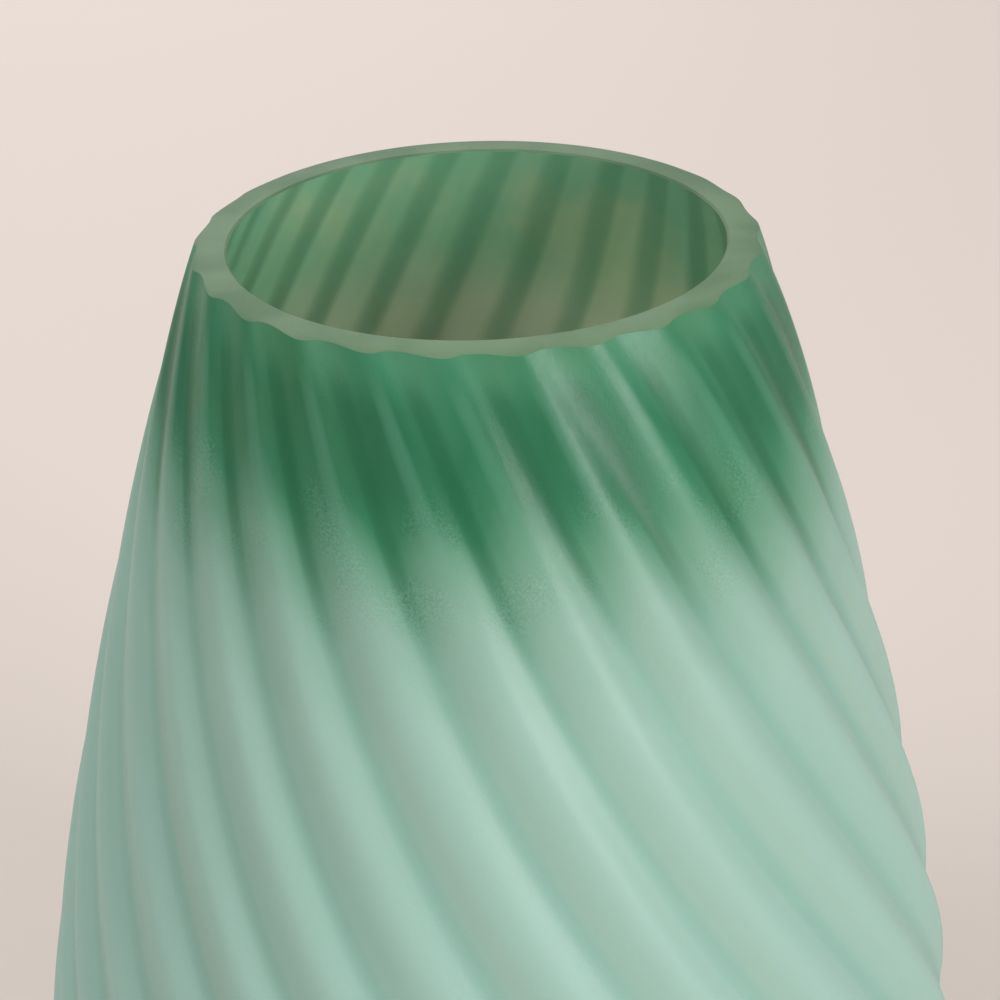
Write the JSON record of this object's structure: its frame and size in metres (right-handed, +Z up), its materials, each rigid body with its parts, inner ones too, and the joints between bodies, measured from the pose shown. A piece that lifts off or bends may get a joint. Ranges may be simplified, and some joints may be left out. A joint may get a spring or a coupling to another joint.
{
  "type": "flower vase",
  "caption": "Frosted glass flower vase with a ground round mouth, a flaring pear-shaped body and raised ribs that swing round it from mouth to foot.",
  "frame": {"origin": "on the axis of the vase, in the plane of the ground foot", "axes": "+Z up along the axis towards the mouth; +X and +Y are square to it, and the vase looks alike from every side"},
  "size_m": [0.1831, 0.1833, 0.25],
  "materials": {
    "frosted_glass": "satin frosted, tinted green, darker at the mouth and fading down the body"
  },
  "bodies": {
    "root": {"glass_body": "frosted_glass"}
  },
  "joints": []
}
